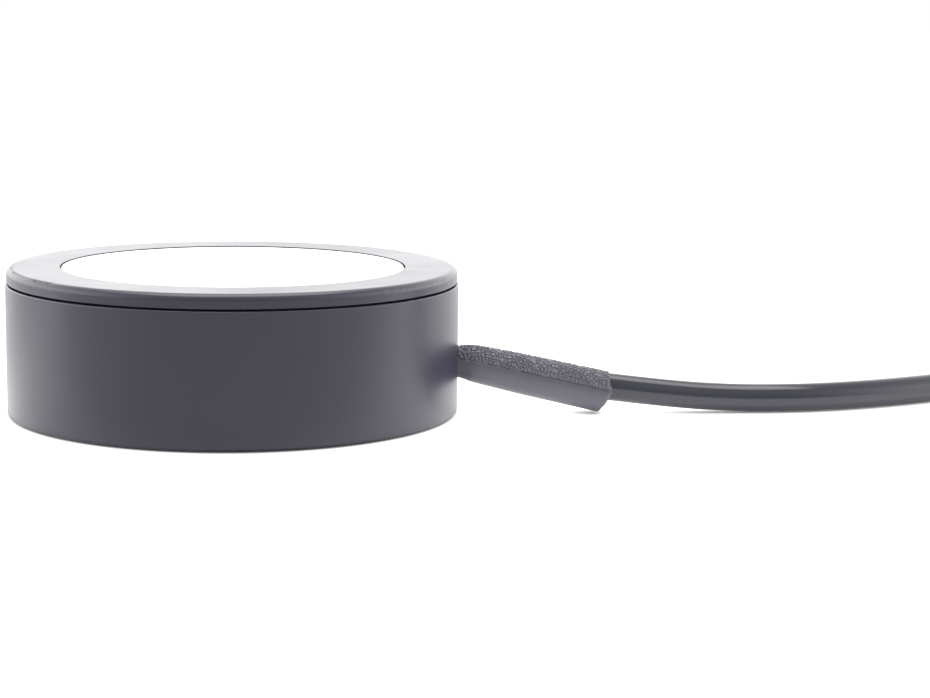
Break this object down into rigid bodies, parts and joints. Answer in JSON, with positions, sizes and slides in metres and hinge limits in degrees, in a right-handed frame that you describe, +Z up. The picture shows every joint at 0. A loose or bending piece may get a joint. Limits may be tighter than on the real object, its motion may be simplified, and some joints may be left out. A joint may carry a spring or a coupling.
{
  "type": "streaming media player",
  "caption": "Disc-shaped streaming media player with a press-button top, rear power inlet and reset button, and a captive video cord with a drooping strain relief and plug.",
  "frame": {"origin": "centre of the disc-shaped body's base, on the surface it stands on", "axes": "+Z up along the body's axis, +X the side where the video cord leaves, +Y the rear with the power inlet"},
  "size_m": [0.2048, 0.0827, 0.0208],
  "materials": {
    "case_plastic": "fine satin texture",
    "disc_plastic": "polished",
    "inner_plastic": "moulded",
    "pad_rubber": "matte",
    "boot_elastomer": "satin",
    "grip_elastomer": "coarse grain",
    "cord_jacket": "satin",
    "plug_plastic": "fine satin texture",
    "plug_steel": "plated",
    "spring_steel": "rolled",
    "screw_steel": "zinc plated",
    "shield_steel": "tin plated",
    "spreader_aluminium": "milled",
    "board_laminate": "solder mask",
    "chip_resin": "moulded",
    "capacitor_ceramic": "fired",
    "coil_ferrite": "pressed",
    "thermal_silicone": "soft",
    "antenna_film": "printed film",
    "lead_jacket": "satin",
    "wire_insulation": "satin",
    "contact_plastic": "moulded",
    "connector_plastic": "moulded"
  },
  "bodies": {
    "housing": {"lower_case": "case_plastic", "top_cover": "case_plastic", "foot_pad": "pad_rubber", "cover_screws": "screw_steel", "button_frame": "inner_plastic", "frame_screws": "screw_steel", "spring_plate": "spring_steel", "main_board": "board_laminate", "board_screws": "screw_steel", "processor_chip": "chip_resin", "memory_chips": "chip_resin", "storage_chip": "chip_resin", "wireless_module": "shield_steel", "power_chip": "chip_resin", "power_coils": "coil_ferrite", "capacitors": "capacitor_ceramic", "shield_fence": "shield_steel", "shield_lid": "shield_steel", "processor_thermal_pad": "thermal_silicone", "lid_thermal_pad": "thermal_silicone", "heat_spreader": "spreader_aluminium", "antennas": "antenna_film", "antenna_leads": "lead_jacket", "top_switch_body": "inner_plastic", "reset_switch_body": "inner_plastic", "inlet_shell": "plug_steel", "inlet_tongue": "contact_plastic", "cord_header": "connector_plastic", "cord_connector": "connector_plastic", "inner_wires": "wire_insulation", "inner_jacket": "cord_jacket", "cord_clamp": "inner_plastic", "clamp_screws": "screw_steel", "strain_relief": "boot_elastomer", "relief_grip": "grip_elastomer", "video_cord": "cord_jacket", "plug_overmold": "plug_plastic", "plug_shell": "plug_steel", "plug_insert": "contact_plastic"},
    "top_button": {"button_disc": "disc_plastic", "button_carrier": "inner_plastic", "top_switch_plunger": "connector_plastic"},
    "reset_key": {"reset_button": "case_plastic", "reset_switch_plunger": "connector_plastic"}
  },
  "joints": [
    {"name": "top_button_press", "type": "slide", "parent": "housing", "child": "top_button", "axis": [0, 0, -1], "range_m": [0, 0.0005], "stiffness_N_per_m": 900, "springref_m": -0.002, "deforming": ["spring_plate"]},
    {"name": "reset_press", "type": "slide", "parent": "housing", "child": "reset_key", "axis": [0, -1, 0], "range_m": [0, 0.0004], "stiffness_N_per_m": 900, "springref_m": -0.001}
  ]
}
